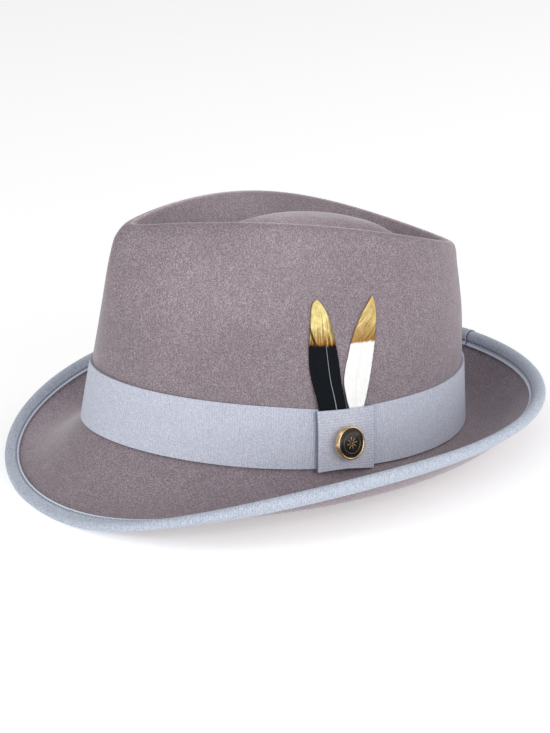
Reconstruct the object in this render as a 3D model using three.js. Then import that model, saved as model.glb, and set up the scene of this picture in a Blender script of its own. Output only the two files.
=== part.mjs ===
// A trilby of wool felt: a teardrop crown, a bound brim, a ribbon band, two feathers and a button.
// Millimetres, +Z up. The front of the hat is at -Y and the wearer's left is at +X. The origin lies
// on the surface that the hat rests on, under the middle of its outer box.

import * as THREE from 'three'

// Thickness of each sheet, and the gap left between pieces that touch
const felt = 1.8
const ribbon = 1
const quill = 1
const gap = 0.3

// How the hat stands by itself: on the front edge of the brim and on the low part of the rear brim
const pitch = 7.4
const restHeight = 12.7
const setBack = 0.4

// The bend from the brim into the crown: its reach out on the brim in mm, and up the crown in rows
const bend = { out: 2, up: 0.066 }

// Columns round the hat, and where the felt's loops lie: in rows up the crown, and in shares of the
// brim's width
const around = 60
const crownLoops = [
  bend.up, 0.5, 1, 1.5, 2, 2.5, 3, 3.5, 4, 4.5, 5, 5.5, 6,
  6.6, 7.2, 7.8, 8.4, 9, 9.6, 10.3, 11
]
const brimLoops = [0.14, 0.28, 0.42, 0.56, 0.7]

// Outlines of the middle of the felt, from the foot of the crown over its crest to the raised middle.
// Taper narrows an outline's front, and back moves it. Tilt lifts its front, saddle its front and back.
const crownRows = [
  // Foot
  { halfLength: 102.6, halfWidth: 84.3, taper: 0.07, back: -1, height: 0.9, tilt: 0, saddle: 2.4 },
  // Band top
  { halfLength: 100, halfWidth: 78.7, taper: 0.05, back: 0.4, height: 31.8, tilt: 0, saddle: 2.4 },
  // Waist
  { halfLength: 97.6, halfWidth: 67.6, taper: 0.28, back: -0.8, height: 67, tilt: 5, saddle: -1.5 },
  // Shoulder
  { halfLength: 95.3, halfWidth: 51.5, taper: 0.52, back: -0.6, height: 95.6, tilt: 9, saddle: -4.8 },
  // Roll
  { halfLength: 92.6, halfWidth: 48.4, taper: 0.56, back: 1, height: 103.2, tilt: 9, saddle: -5.2 },
  // Crest
  { halfLength: 89.4, halfWidth: 45.5, taper: 0.6, back: 2.1, height: 105.2, tilt: 9, saddle: -5.2 },
  // Lip
  { halfLength: 86, halfWidth: 42, taper: 0.6, back: 2.6, height: 103.4, tilt: 9, saddle: -5.2 },
  // Slope
  { halfLength: 79, halfWidth: 34, taper: 0.58, back: 4, height: 95.5, tilt: 8.5, saddle: -4 },
  // Channel
  { halfLength: 70, halfWidth: 26, taper: 0.55, back: 8, height: 89.5, tilt: 7, saddle: -3 },
  // Flank
  { halfLength: 58, halfWidth: 19, taper: 0.5, back: 14, height: 95.5, tilt: 6, saddle: -2 },
  // Island
  { halfLength: 40, halfWidth: 12, taper: 0.4, back: 19, height: 103.3, tilt: 4.5, saddle: -1.5 },
  // Middle
  { halfLength: 12, halfWidth: 4, taper: 0, back: 22, height: 105.8, tilt: 1.3, saddle: 0 }
]
const foot = crownRows[0]
const lastRow = crownRows.length - 1

// Pinches at the front of the crown, pressed in towards its axis. Row counts rows up from the foot.
const pinches = [
  { angle: 52, row: 2.1, spread: 20, rows: 0.75, depth: 4 },
  { angle: -52, row: 2.1, spread: 20, rows: 0.75, depth: 4 }
]

// The brim's developed width, and its slope in degrees at three shares of that width. Front is the
// part that changes sign from front to back, saddle has two turns round the hat and third has three.
const brimWidth = { mean: 52.4, front: 0, saddle: -4, third: 0 }
const brimSlopes = [
  { share: 0, mean: -35.5, front: -9, saddle: 3, third: 0 },
  { share: 0.45, mean: 3.9, front: -41.3, saddle: -11.8, third: 0 },
  { share: 1, mean: 42, front: -29, saddle: -20, third: -27 }
]
const brimSteps = 16

// The ribbon bound over the brim's edge, and the band and the tab round the foot of the crown, whose
// bottom and top count rows up from the foot
const binding = { top: 7.7, under: 6.5 }
const band = { bottom: 0.035, top: 1, rows: 3 }
const tab = { from: 76.4, to: 93.4, bottom: 0, top: 0.92, columns: 8, rows: 4, flatShare: 0.75 }

// The feathers. Rise is up the crown from its foot, and fore and aft are the two edges, measured
// back along the crown's side from the angle that the feathers start from.
const blackFeatherRows = [
  { rise: 13, fore: -12, aft: -2.4 },
  { rise: 28, fore: -15.3, aft: -1.4 },
  { rise: 41, fore: -17.4, aft: -2.4 },
  { rise: 51, fore: -17.8, aft: -2.1 },
  { rise: 60, fore: -16.4, aft: -2.2 },
  { rise: 71, fore: -13.7, aft: -3 },
  { rise: 77.6, fore: -12.1, aft: -4.1 },
  { rise: 81, fore: -11.1, aft: -5.6 },
  { rise: 82.8, fore: -9.7, aft: -6.6 },
  { rise: 83.6, fore: -8.4, aft: -7.4 }
]
const whiteFeatherRows = [
  { rise: 13, fore: 1.5, aft: 6.5 },
  { rise: 28, fore: 0.4, aft: 7.4 },
  { rise: 35.5, fore: -0.9, aft: 9.9 },
  { rise: 41, fore: -1.4, aft: 12.2 },
  { rise: 48.6, fore: 0.5, aft: 14.9 },
  { rise: 61.4, fore: 5.4, aft: 18.7 },
  { rise: 69, fore: 9.1, aft: 20.8 },
  { rise: 76, fore: 14.2, aft: 22.1 },
  { rise: 81, fore: 18.8, aft: 22.1 },
  { rise: 83.5, fore: 21.2, aft: 21.8 }
]
const feather = {
  angle: 85.9, edge: 0.4, columns: 4, steps: 13, crowding: 1.5, lift: 0.4, leavesBand: 33, meetsCrown: 48
}
const sideRadius = 100

// The button on the tab: a domed metal rim with a recess, and a flat-domed face that lies in it. Its
// fore edge stands off the tab by a small turn towards the back.
const button = { angle: 85.2, row: 0.455, turn: 8.5, segments: 28 }
const rimProfile = [
  { radius: 0, height: 0 },
  { radius: 8.2, height: 0 },
  { radius: 8.6, height: 0.7 },
  { radius: 8.3, height: 2 },
  { radius: 7.8, height: 2.8 },
  { radius: 7.35, height: 2.9 },
  { radius: 7.2, height: 1.5 },
  { radius: 0, height: 1.5 }
]
const faceProfile = [
  { radius: 0, height: 1.8 },
  { radius: 6.9, height: 1.8 },
  { radius: 6.9, height: 2.5 },
  { radius: 4.5, height: 2.95 },
  { radius: 0, height: 3.15 }
]

const materials = {
  felt: new THREE.MeshStandardMaterial({ color: 0x8d8089, roughness: 0.95, metalness: 0 }),
  binding: new THREE.MeshStandardMaterial({ color: 0x94a3b5, roughness: 0.8, metalness: 0 }),
  band: new THREE.MeshStandardMaterial({ color: 0xa3a9bb, roughness: 0.75, metalness: 0 }),
  blackFeather: new THREE.MeshStandardMaterial({ color: 0x14171b, roughness: 0.6, metalness: 0 }),
  whiteFeather: new THREE.MeshStandardMaterial({ color: 0xf4f3f1, roughness: 0.7, metalness: 0 }),
  brass: new THREE.MeshStandardMaterial({ color: 0xc9a35c, roughness: 0.3, metalness: 1 }),
  enamel: new THREE.MeshStandardMaterial({ color: 0x14141a, roughness: 0.2, metalness: 0 })
}

const radians = Math.PI / 180

// A value that changes round the hat, from its mean and its turns
function wave(row, angle) {
  return row.mean + row.front * Math.cos(angle) + row.saddle * Math.cos(2 * angle)
    + row.third * Math.cos(3 * angle)
}

// The outlines of the felt, at an angle from the front towards the wearer's left
function outlinePoint(row, angle) {
  const x = row.halfWidth * Math.sin(angle) * (1 - row.taper * Math.cos(angle))
  const y = row.back - row.halfLength * Math.cos(angle)
  const z = row.height + row.tilt * Math.cos(angle) + row.saddle * Math.cos(2 * angle)
  return new THREE.Vector3(x, y, z)
}

function crownCurve(angle) {
  return new THREE.CatmullRomCurve3(crownRows.map((row) => outlinePoint(row, angle)))
}

// How deep the pinches press the crown in at an angle and row
function pinchDepth(angle, row) {
  let depth = 0
  for (const pinch of pinches) {
    const away = angle - pinch.angle * radians
    const turn = Math.atan2(Math.sin(away), Math.cos(away))
    const sideways = turn / (pinch.spread * radians)
    const upwards = (row - pinch.row) / pinch.rows
    depth += pinch.depth * Math.exp(-sideways * sideways - upwards * upwards)
  }
  return depth
}

function crownPoint(angle, row) {
  const point = crownCurve(angle).getPoint(THREE.MathUtils.clamp(row / lastRow, 0, 1))
  const depth = pinchDepth(angle, row)
  point.x -= depth * Math.sin(angle)
  point.y += depth * Math.cos(angle)
  return point
}

// The slope of the brim at a share of its width: a parabola through the three stated slopes
function brimSlope(angle, share) {
  const [start, middle, end] = brimSlopes.map((row) => wave(row, angle))
  const half = brimSlopes[1].share
  const rate = (middle - start) / half
  const bow = (end - middle) / (1 - half) - rate
  return (start + share * rate + share * (share - half) * bow) * radians
}

// A point on the middle of the brim, at a distance out from the foot of the crown
function brimPoint(angle, distance) {
  const width = wave(brimWidth, angle)
  const narrowing = Math.cos(angle) * (1 - foot.taper * Math.cos(angle)) + foot.taper * Math.sin(angle) ** 2
  const outward = new THREE.Vector2(foot.halfLength * Math.sin(angle), -foot.halfWidth * narrowing)
  outward.normalize()
  const point = outlinePoint(foot, angle)
  const step = distance / brimSteps
  for (let index = 0; index < brimSteps; index++) {
    const slope = brimSlope(angle, (index + 0.5) * step / width)
    point.x += outward.x * Math.cos(slope) * step
    point.y += outward.y * Math.cos(slope) * step
    point.z += Math.sin(slope) * step
  }
  return point
}

// The middle of the felt: a place below 0 is that many mm out on the brim, and one above 0 counts
// rows up the crown. The two are joined by a short bend.
function feltPoint(angle, place) {
  if (place <= -bend.out) return brimPoint(angle, -place)
  if (place >= bend.up) return crownPoint(angle, place)
  const share = (place + bend.out) / (bend.out + bend.up)
  const start = brimPoint(angle, bend.out)
  const end = crownPoint(angle, bend.up)
  return start.lerp(outlinePoint(foot, angle), share).lerp(outlinePoint(foot, angle).lerp(end, share), share)
}

// A point on the brim at a distance in from its outer edge
function edgePoint(angle, inset) {
  return feltPoint(angle, inset - wave(brimWidth, angle))
}

// The point that stands off a surface by a distance, to its outer side or, below 0, its inner side
function offset(surface, angle, place, out) {
  const step = 0.01
  const sideways = surface(angle + step, place).sub(surface(angle - step, place))
  const upwards = surface(angle, place + step).sub(surface(angle, place - step))
  const normal = sideways.cross(upwards).normalize()
  return surface(angle, place).addScaledVector(normal, out)
}

// Stands a point of the hat on the surface, no lower than the level given for it
function settle(point, lowest = 0) {
  point.applyAxisAngle(new THREE.Vector3(1, 0, 0), -pitch * radians)
  point.y += setBack
  point.z = Math.max(point.z + restHeight, lowest)
  return point
}

// One loop of points round the hat
function ring(makePoint) {
  const angles = Array.from({ length: around }, (_, index) => (index / around) * 2 * Math.PI)
  return angles.map(makePoint)
}

// A closed body whose skin runs over loops of points in order. Its ends are closed flat, or joined
// to each other where the loops run round a ring.
function skin(loops, joined = false) {
  const count = loops[0].length
  const points = loops.flat()
  const faces = []
  const rows = joined ? loops.length : loops.length - 1
  for (let row = 0; row < rows; row++) {
    const next = (row + 1) % loops.length
    for (let column = 0; column < count; column++) {
      const beside = (column + 1) % count
      const [a, b] = [row * count + column, row * count + beside]
      const [c, d] = [next * count + beside, next * count + column]
      faces.push(a, b, c, a, c, d)
    }
  }
  if (!joined) {
    for (const row of [0, loops.length - 1]) {
      const middle = loops[row].reduce((sum, point) => sum.add(point), new THREE.Vector3())
      points.push(middle.divideScalar(count))
      for (let column = 0; column < count; column++) {
        const pair = [row * count + column, row * count + ((column + 1) % count)]
        if (row === 0) pair.reverse()
        faces.push(points.length - 1, ...pair)
      }
    }
  }
  if (volume(points, faces) < 0) faces.reverse()
  const geometry = new THREE.BufferGeometry().setFromPoints(points)
  geometry.setIndex(faces)
  geometry.computeVertexNormals()
  return geometry
}

function volume(points, faces) {
  let sum = 0
  for (let index = 0; index < faces.length; index += 3) {
    const [a, b, c] = [points[faces[index]], points[faces[index + 1]], points[faces[index + 2]]]
    sum += a.dot(b.clone().cross(c)) / 6
  }
  return sum
}

// The crown and the brim: one piece of felt, whose outer and inner skins meet at the brim's edge
function makeFelt() {
  const half = felt / 2
  const bindingInside = gap + ribbon
  const fold = ribbon + gap + half
  const crownSkin = (side) => crownLoops.map((place) =>
    ring((angle) => settle(offset(feltPoint, angle, place, side * half))))
  const bendSkin = (side) => [ring((angle) => settle(offset(feltPoint, angle, -bend.out * 0.5, side * half)))]
  const brimSkin = (side) => brimLoops.map((share) =>
    ring((angle) => settle(offset(feltPoint, angle, -share * wave(brimWidth, angle), side * half))))
  const boundSkin = (side) => [binding.top, (binding.top + fold) / 2, fold].map((inset) =>
    ring((angle) => settle(offset(edgePoint, angle, inset, side * half), bindingInside)))
  const edge = ring((angle) => settle(edgePoint(angle, bindingInside + gap), bindingInside + gap))
  const outer = [...crownSkin(1).reverse(), ...bendSkin(1), ...brimSkin(1), ...boundSkin(1)]
  const inner = [...crownSkin(-1).reverse(), ...bendSkin(-1), ...brimSkin(-1), ...boundSkin(-1)]
  return skin([...outer, edge, ...inner.reverse()])
}

// The ribbon folded over the brim's edge
function makeBinding() {
  const inner = felt / 2 + gap
  const outer = inner + ribbon
  const turns = [90, 45, 0, -45, -90]
  const side = (reach, lowest) => {
    const top = [binding.top, (binding.top + outer) / 2].map((inset) => ({ inset, out: reach }))
    const fold = turns.map((turn) => ({
      inset: outer - reach * Math.cos(turn * radians),
      out: reach * Math.sin(turn * radians)
    }))
    const under = [(binding.under + outer) / 2, binding.under].map((inset) => ({ inset, out: -reach }))
    return [...top, ...fold, ...under].map((corner) =>
      ring((angle) => settle(offset(edgePoint, angle, corner.inset, corner.out), lowest)))
  }
  return skin([...side(outer, 0), ...side(inner, ribbon).reverse()], true)
}

// The places of a ribbon's rows, from its bottom to its top
function between(piece) {
  const rows = Array.from({ length: piece.rows + 1 }, (_, index) => index / piece.rows)
  return rows.map((share) => THREE.MathUtils.lerp(piece.bottom, piece.top, share))
}

// The ribbon round the foot of the crown
function makeBand() {
  const places = between(band)
  const inner = felt / 2 + gap
  const side = (out) => places.map((place) => ring((angle) => settle(offset(crownPoint, angle, place, out))))
  return skin([...side(inner + ribbon), ...side(inner).reverse()], true)
}

// How far the trim on the band's outside stands off the middle of the felt
const onBand = felt / 2 + gap + ribbon + gap

// The tab stands clear of the band for the quills behind it, and comes back to the band at its far end
function tabOut(share) {
  const ease = THREE.MathUtils.smoothstep(share, tab.flatShare, 1)
  return onBand + (quill + gap) * (1 - ease)
}

function makeTab() {
  const places = between(tab)
  const loops = []
  for (let column = 0; column <= tab.columns; column++) {
    const share = column / tab.columns
    const angle = (tab.from + share * (tab.to - tab.from)) * radians
    const side = (out) => places.map((place) => settle(offset(crownPoint, angle, place, out)))
    loops.push([...side(tabOut(share)), ...side(tabOut(share) + ribbon).reverse()])
  }
  return skin(loops)
}

// The crown's side by the distance up it, for what lies along it
function sidePoint(angle, rise) {
  const place = crownCurve(angle).getUtoTmapping(0, rise) * lastRow
  return crownPoint(angle, place)
}

// A value from the feather's table at a rise between its rows
function featherEdgeAt(rows, name, rise) {
  const index = Math.max(1, rows.findIndex((row) => row.rise >= rise))
  const [below, above] = [rows[index - 1], rows[index]]
  return THREE.MathUtils.mapLinear(rise, below.rise, above.rise, below[name], above[name])
}

// A feather: a thin blade that comes up from behind the tab and then lies along the crown
function makeFeather(rows) {
  const [first, last] = [rows[0].rise, rows[rows.length - 1].rise]
  const loops = []
  for (let step = 0; step <= feather.steps; step++) {
    const share = 1 - (1 - step / feather.steps) ** feather.crowding
    const rise = first + (last - first) * share
    const [fore, aft] = ['fore', 'aft'].map((name) => featherEdgeAt(rows, name, rise))
    const clear = THREE.MathUtils.smoothstep(rise, feather.leavesBand, feather.meetsCrown)
    const out = THREE.MathUtils.lerp(onBand, felt / 2 + feather.lift, clear)
    const lower = []
    const upper = []
    for (let column = 0; column <= feather.columns; column++) {
      const across = column / feather.columns
      const angle = feather.angle * radians + (fore + across * (aft - fore)) / sideRadius
      const thickness = feather.edge + (quill - feather.edge) * Math.sin(across * Math.PI)
      lower.push(settle(offset(sidePoint, angle, rise, out)))
      upper.unshift(settle(offset(sidePoint, angle, rise, out + thickness)))
    }
    loops.push([...lower, ...upper])
  }
  return skin(loops)
}

function makeTurned(profile) {
  const points = profile.map((point) => new THREE.Vector2(point.radius, point.height))
  return new THREE.LatheGeometry(points, button.segments)
}

// The button's rim and face, stood on the tab
function makeButton() {
  const angle = button.angle * radians
  const lift = Math.max(...rimProfile.map((point) => point.radius)) * Math.sin(button.turn * radians)
  const out = tabOut(0) + ribbon + gap + lift
  const seat = settle(offset(crownPoint, angle, button.row, out))
  const above = settle(offset(crownPoint, angle, button.row, out + 1))
  const group = new THREE.Group()
  group.position.copy(seat)
  const axis = above.sub(seat).normalize().applyAxisAngle(new THREE.Vector3(0, 0, 1), button.turn * radians)
  group.quaternion.setFromUnitVectors(new THREE.Vector3(0, 1, 0), axis)
  group.add(named('button_rim', makeTurned(rimProfile), materials.brass))
  group.add(named('button_face', makeTurned(faceProfile), materials.enamel))
  return group
}

function named(name, geometry, material) {
  const mesh = new THREE.Mesh(geometry, material)
  mesh.name = name
  return mesh
}

const trilby = new THREE.Group()
trilby.add(named('felt_body', makeFelt(), materials.felt))
trilby.add(named('brim_binding', makeBinding(), materials.binding))
trilby.add(named('hat_band', makeBand(), materials.band))
trilby.add(named('band_tab', makeTab(), materials.band))
trilby.add(named('black_feather', makeFeather(blackFeatherRows), materials.blackFeather))
trilby.add(named('white_feather', makeFeather(whiteFeatherRows), materials.whiteFeather))
trilby.add(makeButton())

export default trilby
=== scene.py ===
# A trilby of wool felt with a ribbon band, two dipped feathers and a button, dressed round its frame.
# Lengths are in metres, and mm turns a size in millimetres into metres. Points closer than a weld are one.

import math

import bpy
import numpy as np
from mathutils import Matrix, Vector


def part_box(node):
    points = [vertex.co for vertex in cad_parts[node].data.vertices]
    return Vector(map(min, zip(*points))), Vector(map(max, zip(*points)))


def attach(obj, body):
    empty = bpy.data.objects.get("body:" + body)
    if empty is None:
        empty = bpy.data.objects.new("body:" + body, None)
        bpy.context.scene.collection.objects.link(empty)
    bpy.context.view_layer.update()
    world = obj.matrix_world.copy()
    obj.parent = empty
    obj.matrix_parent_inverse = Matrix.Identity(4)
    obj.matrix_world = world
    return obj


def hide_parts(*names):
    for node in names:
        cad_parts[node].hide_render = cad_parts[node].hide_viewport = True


mm = 0.001
skinWeld = 0.004 * mm
pieceWeld = 0.002 * mm
tiny = 1e-12
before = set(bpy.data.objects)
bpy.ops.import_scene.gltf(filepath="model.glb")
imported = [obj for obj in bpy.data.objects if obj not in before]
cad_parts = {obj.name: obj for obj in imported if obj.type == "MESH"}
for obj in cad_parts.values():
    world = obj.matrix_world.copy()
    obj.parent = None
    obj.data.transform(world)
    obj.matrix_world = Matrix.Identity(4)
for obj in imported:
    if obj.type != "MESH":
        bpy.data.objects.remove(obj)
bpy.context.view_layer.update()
chance = np.random.default_rng(7)
print("frame loaded:", ", ".join(sorted(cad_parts)))


# Camera, at the photograph's viewing angle. The lens is for the photograph's upright frame.
view = {
    "distance": 1208 * mm,
    "azimuth": 60.875,
    "elevation": 21.01,
    "turn": -0.101,
    "dip": 1.225,
    "roll": -3.988,
    "lens": 113.27,
    "aim": Vector((0, 0.4, 13)) * mm,
}


def makeCamera():
    azimuth = math.radians(view["azimuth"])
    elevation = math.radians(view["elevation"])
    back = Vector((
        math.sin(azimuth) * math.cos(elevation),
        -math.cos(azimuth) * math.cos(elevation),
        math.sin(elevation),
    ))
    bpy.ops.object.camera_add()
    camera = bpy.context.object
    camera.name = "camera"
    camera.data.lens = view["lens"]
    turned = Matrix.Rotation(math.radians(view["azimuth"] + view["turn"]), 4, "Z")
    dipped = Matrix.Rotation(math.radians(90 - view["elevation"] + view["dip"]), 4, "X")
    rolled = Matrix.Rotation(math.radians(view["roll"]), 4, "Z")
    place = Matrix.Translation(view["aim"] + back * view["distance"])
    camera.matrix_world = place @ turned @ dipped @ rolled
    bpy.context.scene.camera = camera


makeCamera()
print("camera placed")


# Reading the frame's skins. Each point inside such a skin has six neighbours, so a line of points
# goes straight on at the third neighbour after the one that it came from.
neighbours = 6
straightOn = 3


def skinOf(nodeName):
    bpy.ops.object.select_all(action="DESELECT")
    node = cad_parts[nodeName]
    copied = node.copy()
    copied.data = node.data.copy()
    bpy.context.collection.objects.link(copied)
    bpy.context.view_layer.objects.active = copied
    copied.select_set(True)
    bpy.ops.object.mode_set(mode="EDIT")
    bpy.ops.mesh.select_all(action="SELECT")
    bpy.ops.mesh.remove_doubles(threshold=skinWeld)
    bpy.ops.object.mode_set(mode="OBJECT")
    points = np.array([vertex.co for vertex in copied.data.vertices], float)
    order = [{} for _ in points]
    for face in copied.data.polygons:
        a, b, c = face.vertices
        order[a][b] = c
        order[b][c] = a
        order[c][a] = b
    bpy.data.objects.remove(copied)
    return points, order


def lineFrom(order, first, second):
    line = [first, second]
    while len(order[line[-1]]) == neighbours:
        ahead = line[-2]
        for _ in range(straightOn):
            ahead = order[line[-1]][ahead]
        if ahead == first:
            return line, True
        line.append(ahead)
        if len(line) > len(order):
            break
    return line, False


def ringFrom(order, first, count):
    for second in order[first]:
        line, closed = lineFrom(order, first, second)
        if closed and len(line) == count:
            return line
    raise ValueError(f"no ring of {count} points starts at point {first}")


# Rows of points along each ring of the skin: an array of ring, row and coordinate
def gridOf(nodeName, ringCount, start):
    points, order = skinOf(nodeName)
    first = int(np.argmin(np.linalg.norm(points - np.array(start), axis=1)))
    ring = ringFrom(order, first, ringCount)
    beside = ring[1:] + ring[:1]
    oneTurn = order[first][beside[0]]
    twoTurns = order[first][oneTurn]
    lines = [lineFrom(order, first, second) for second in (oneTurn, twoTurns)]
    steps = [np.linalg.norm(np.diff(points[line], axis=0), axis=1).mean() for line, _ in lines]
    turns = 1 + int(np.argmin(steps))
    closed = lines[turns - 1][1]
    columns = []
    for here, following in zip(ring, beside):
        ahead = following
        for _ in range(turns):
            ahead = order[here][ahead]
        line, _ = lineFrom(order, here, ahead)
        if not closed:
            behind = ahead
            for _ in range(straightOn):
                behind = order[here][behind]
            other, _ = lineFrom(order, here, behind)
            line = other[:0:-1] + line
        columns.append(line)
    return points[np.array(columns)]


# The outer and the inner side of a thin sheet whose rings run round its thickness
def sidesOf(rings):
    count = rings.shape[1]
    half = count // 2
    lengths = np.linalg.norm(np.roll(rings, -1, axis=1) - rings, axis=2).mean(axis=0)
    cap = int(np.argmin(lengths[:half] + lengths[half:]))
    turned = np.roll(rings, -(cap + 1), axis=1)
    oneSide = turned[:, :half]
    otherSide = turned[:, half:][:, ::-1]
    if areaOf(oneSide) < areaOf(otherSide):
        oneSide, otherSide = otherSide, oneSide
    return oneSide, otherSide


def areaOf(side):
    along = np.diff(side, axis=0)[:, :-1]
    across = np.diff(side, axis=1)[:-1]
    return np.linalg.norm(np.cross(along, across), axis=2).sum()


# A smooth line through rows of points, at places counted in rows
def smoothRows(rows, places, closed=False):
    count = len(rows)
    places = np.asarray(places, float)
    lower = np.floor(places).astype(int)
    if not closed:
        lower = np.clip(lower, 0, count - 2)
    share = (places - lower).reshape((-1,) + (1,) * (rows.ndim - 1))

    def row(step):
        index = lower + step
        return rows[index % count] if closed else rows[np.clip(index, 0, count - 1)]

    before, here, following, after = row(-1), row(0), row(1), row(2)
    return 0.5 * (
        2 * here
        + (following - before) * share
        + (2 * before - 5 * here + 4 * following - after) * share**2
        + (3 * here - before - 3 * following + after) * share**3
    )


def smoothAcross(side, places):
    return smoothRows(side.swapaxes(0, 1), places).swapaxes(0, 1)


def unitOf(vectors):
    return vectors / np.maximum(np.linalg.norm(vectors, axis=-1, keepdims=True), tiny)


def normalsOf(side):
    along = np.roll(side, -1, axis=0) - np.roll(side, 1, axis=0)
    return unitOf(np.cross(along, np.gradient(side, axis=1)))


def travelled(line):
    steps = np.linalg.norm(np.diff(line, axis=0), axis=1)
    return np.concatenate([[0], np.cumsum(steps)])


# A mesh from rows of points, with a UV map in metres or shares where one is given
def meshFrom(name, points, faces, places=None):
    mesh = bpy.data.meshes.new(name)
    mesh.from_pydata([tuple(point) for point in points], [], [tuple(face) for face in faces])
    mesh.validate()
    piece = bpy.data.objects.new(name, mesh)
    bpy.context.collection.objects.link(piece)
    if places is not None:
        layer = mesh.uv_layers.new(name="lay")
        for loop in mesh.loops:
            layer.data[loop.index].uv = places[loop.vertex_index]
    return piece


def gridFaces(rows, columns, closedRows=False, closedColumns=False, first=0):
    faces = []
    for row in range(rows if closedRows else rows - 1):
        for column in range(columns if closedColumns else columns - 1):
            a = first + row * columns + column
            b = first + row * columns + (column + 1) % columns
            c = first + ((row + 1) % rows) * columns + (column + 1) % columns
            d = first + ((row + 1) % rows) * columns + column
            faces.append((a, b, c, d))
    return faces


def tubeFaces(rows, sides, first=0):
    ends = [tuple(range(start, start + sides)) for start in (first, first + (rows - 1) * sides)]
    return gridFaces(rows, sides, closedColumns=True, first=first) + ends


# The distance along a sheet and the distance across it, side by side
def layOf(along, across):
    return np.stack(np.broadcast_arrays(along[:, None], across), axis=2)


# The points, faces and UV places of a closed sheet, from those of its outer and its inner side.
# A sheet that isn't a loop is closed at its two ends too.
def closedSheet(sides, lays, loop=False):
    points = np.concatenate([sides[0], sides[1][:, ::-1]], axis=1)
    places = np.concatenate([lays[0], lays[1][:, ::-1]], axis=1)
    rows, columns = points.shape[:2]
    faces = gridFaces(rows, columns, closedRows=loop, closedColumns=True)
    for first in () if loop else (0, (rows - 1) * columns):
        last = first + columns - 1
        for column in range(columns // 2 - 1):
            faces.append((first + column, first + column + 1, last - column - 1, last - column))
    return points.reshape(-1, 3), faces, places.reshape(-1, 2)


# Merges a piece's doubles, turns its faces outwards, gives it its material and hands it to the frame
def finishPiece(piece, material, nodeNames=(), smoothAngle=50):
    bpy.ops.object.select_all(action="DESELECT")
    bpy.context.view_layer.objects.active = piece
    piece.select_set(True)
    bpy.ops.object.mode_set(mode="EDIT")
    bpy.ops.mesh.select_all(action="SELECT")
    bpy.ops.mesh.remove_doubles(threshold=pieceWeld)
    bpy.ops.mesh.normals_make_consistent(inside=False)
    bpy.ops.object.mode_set(mode="OBJECT")
    bpy.ops.object.shade_smooth_by_angle(angle=math.radians(smoothAngle))
    piece.data.materials.clear()
    piece.data.materials.append(material)
    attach(piece, "root")
    if nodeNames:
        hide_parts(*nodeNames)
    print("made", piece.name, "with", len(piece.data.polygons), "faces")
    return piece


# Colours are sRGB hex values
def hexColour(code):
    channels = [int(code[index:index + 2], 16) / 255 for index in (1, 3, 5)]
    return tuple(
        value / 12.92 if value <= 0.04045 else ((value + 0.055) / 1.055) ** 2.4 for value in channels
    ) + (1.0,)


def addNode(tree, kind, inputs=None, **settings):
    node = tree.nodes.new(kind)
    for name, value in settings.items():
        setattr(node, name, value)
    for socket, value in (inputs or {}).items():
        if isinstance(value, bpy.types.NodeSocket):
            tree.links.new(value, node.inputs[socket])
        else:
            node.inputs[socket].default_value = value
    return node


def newMaterial(name):
    material = bpy.data.materials.new(name)
    material.use_nodes = True
    tree = material.node_tree
    tree.nodes.clear()
    return material, tree


def finishMaterial(tree, shader):
    addNode(tree, "ShaderNodeOutputMaterial", {"Surface": shader.outputs["BSDF"]})


# Lays a colour over the one that shows. Its share follows a value, from one end of the value's span
# to the other.
def layOver(tree, shown, value, span, shares, colour, course="LINEAR", blend="MIX"):
    share = addNode(tree, "ShaderNodeMapRange", {
        "Value": value, "From Min": span[0], "From Max": span[1],
        "To Min": shares[0], "To Max": shares[1]}, interpolation_type=course)
    mixed = addNode(tree, "ShaderNodeMixRGB", {
        "Fac": share.outputs["Result"], "Color1": shown, "Color2": hexColour(colour)}, blend_type=blend)
    return mixed.outputs["Color"]


# Wool felt, blocked and brushed: matt and finely pebbled, with pale fibre ends over darker pits, and
# a nap that catches the light at a low angle. Soft patches of painted light brighten it in places, and
# a pale line of painted highlight runs along the crest and the middle of the top.
feltLook = {
    "colour": "#8a7c83", "dark": "#6a5e65", "pale": "#b4a8af", "paintedHighlight": "#ffffff",
    "noises": {
        "grain": {"size": 0.62 * mm, "detail": 1.5, "rough": 0.6},
        "fibre": {"size": 1.3 * mm, "detail": 3.0, "rough": 0.7},
        "blotch": {"size": 5 * mm, "detail": 3.0, "rough": 0.6},
        "mottle": {"size": 24 * mm, "detail": 2.0, "rough": 0.5},
    },
    "layers": [
        {"noise": "grain", "span": (0.34, 0.52), "shares": (0.85, 0), "tone": "dark"},
        {"noise": "grain", "span": (0.5, 0.7), "shares": (0, 0.85), "tone": "pale"},
        {"noise": "fibre", "span": (0.52, 0.75), "shares": (0, 0.5), "tone": "pale"},
        {"noise": "blotch", "span": (0.35, 0.65), "shares": (0, 0.22), "tone": "dark"},
        {"noise": "mottle", "span": (0.35, 0.65), "shares": (0, 0.16), "tone": "dark"},
    ],
    # Soft pools of painted light: white dodged over the felt round these points
    "paintedLight": [
        {"at": (0.034, -0.0545, 0.1005), "reach": 34 * mm, "share": 0.19},
        {"at": (0.048, -0.02, 0.1005), "reach": 42 * mm, "share": 0.17},
        {"at": (0.004, 0.012, 0.13), "reach": 70 * mm, "share": 0.36},
        {"at": (-0.085, -0.1, 0.012), "reach": 76 * mm, "share": 0.36},
    ],
    # The painted highlight's strength where it is strongest
    "crestLightShare": 0.56,
}


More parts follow.
